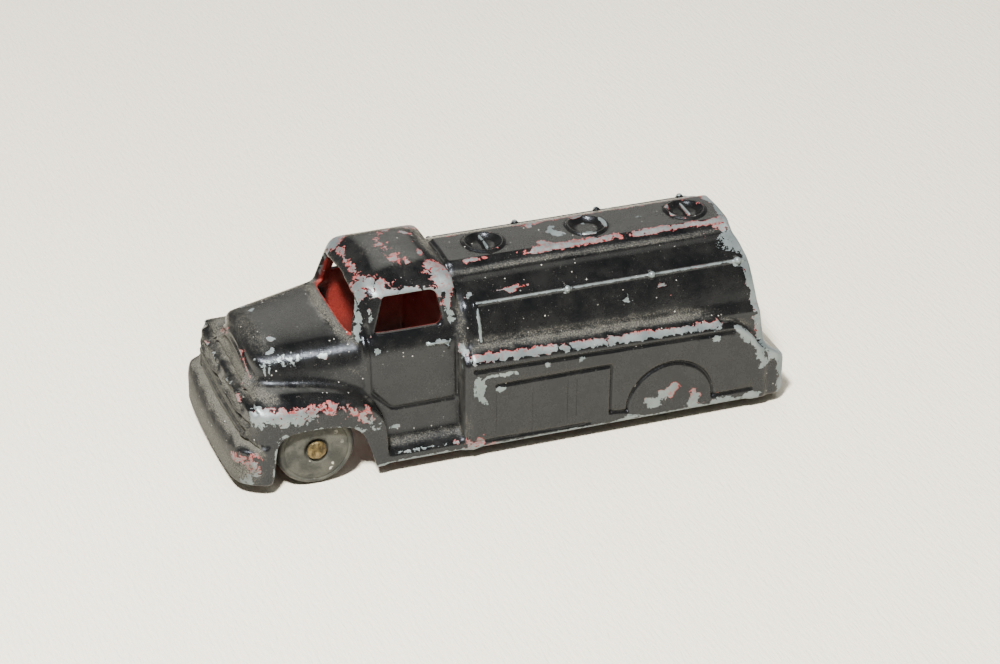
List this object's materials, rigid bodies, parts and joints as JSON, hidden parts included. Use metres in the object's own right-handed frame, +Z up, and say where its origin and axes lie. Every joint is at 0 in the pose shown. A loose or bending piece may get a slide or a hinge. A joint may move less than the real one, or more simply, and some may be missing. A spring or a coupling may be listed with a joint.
{
  "type": "toy tank truck",
  "caption": "Worn die-cast toy tank truck: hollow one-piece cab and streamlined tank casting on two axles with rubber wheels that roll.",
  "frame": {"origin": "on the ground under the middle of the truck's box, where the wheels stand", "axes": "+Y towards the rear of the truck, +X towards its left side, +Z up"},
  "size_m": [0.037, 0.103, 0.0353],
  "materials": {
    "body_paint": "semi-gloss black enamel over red, chipped to bare zinc along the edges",
    "wheel_rubber": "matt grey-green rubber, dusty",
    "axle_brass": "dull tarnished brass plating"
  },
  "bodies": {
    "shell": {"body_casting": "body_paint"},
    "front_axle": {"front_axle": "axle_brass"},
    "rear_axle": {"rear_axle": "axle_brass"},
    "front_left_wheel": {"front_left_wheel": "wheel_rubber"},
    "front_right_wheel": {"front_right_wheel": "wheel_rubber"},
    "rear_left_wheel": {"rear_left_wheel": "wheel_rubber"},
    "rear_right_wheel": {"rear_right_wheel": "wheel_rubber"}
  },
  "joints": [
    {"name": "front_axle_spin", "type": "hinge", "parent": "shell", "child": "front_axle", "pos_m": [0, -0.0365, 0.007], "axis": [1, 0, 0], "continuous": true},
    {"name": "rear_axle_spin", "type": "hinge", "parent": "shell", "child": "rear_axle", "pos_m": [0, 0.0285, 0.007], "axis": [1, 0, 0], "continuous": true},
    {"name": "front_left_wheel_roll", "type": "hinge", "parent": "front_axle", "child": "front_left_wheel", "pos_m": [0.0155, -0.0365, 0.007], "axis": [1, 0, 0], "continuous": true},
    {"name": "front_right_wheel_roll", "type": "hinge", "parent": "front_axle", "child": "front_right_wheel", "pos_m": [-0.0155, -0.0365, 0.007], "axis": [1, 0, 0], "continuous": true},
    {"name": "rear_left_wheel_roll", "type": "hinge", "parent": "rear_axle", "child": "rear_left_wheel", "pos_m": [0.0146, 0.0285, 0.007], "axis": [1, 0, 0], "continuous": true},
    {"name": "rear_right_wheel_roll", "type": "hinge", "parent": "rear_axle", "child": "rear_right_wheel", "pos_m": [-0.0146, 0.0285, 0.007], "axis": [1, 0, 0], "continuous": true}
  ]
}
